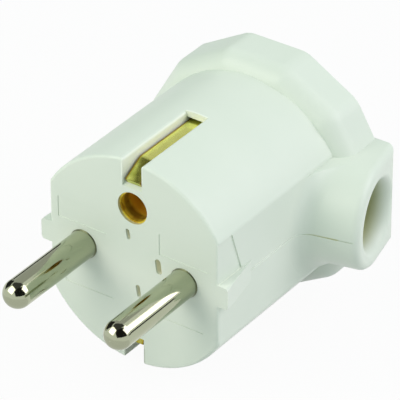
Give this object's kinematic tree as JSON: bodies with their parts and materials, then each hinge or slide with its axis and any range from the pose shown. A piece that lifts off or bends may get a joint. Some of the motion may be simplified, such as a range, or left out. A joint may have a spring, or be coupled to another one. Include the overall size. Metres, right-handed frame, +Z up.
{
  "type": "side entry plug",
  "caption": "White mains plug with round pins, earth strips on the body and an earth socket, a faceted grip at the back and a cable spout on its side.",
  "frame": {"origin": "middle of the front face, on the line between the two pins", "axes": "-Y out of the front face along the pins, +X towards the cable spout, +Z up towards the earth socket"},
  "size_m": [0.0458, 0.0586, 0.041],
  "materials": {
    "white_plastic": "satin moulded",
    "inner_plastic": "satin moulded",
    "nickel_plate": "polished nickel plate",
    "earth_brass": "satin",
    "socket_brass": "tarnished",
    "screw_steel": "zinc plated"
  },
  "bodies": {
    "root": {"front_housing": "white_plastic", "rear_cover": "white_plastic", "cover_screws": "screw_steel", "left_pin": "nickel_plate", "right_pin": "nickel_plate", "pin_terminal_screws": "screw_steel", "contact_retainer": "inner_plastic", "retainer_screw": "screw_steel", "earth_strip": "earth_brass", "earth_socket": "socket_brass", "earth_terminal_plate": "screw_steel", "earth_terminal_nut": "screw_steel", "earth_terminal_screw": "screw_steel", "clamp_base": "inner_plastic", "clamp_strap": "inner_plastic", "clamp_screws": "screw_steel"}
  },
  "joints": []
}
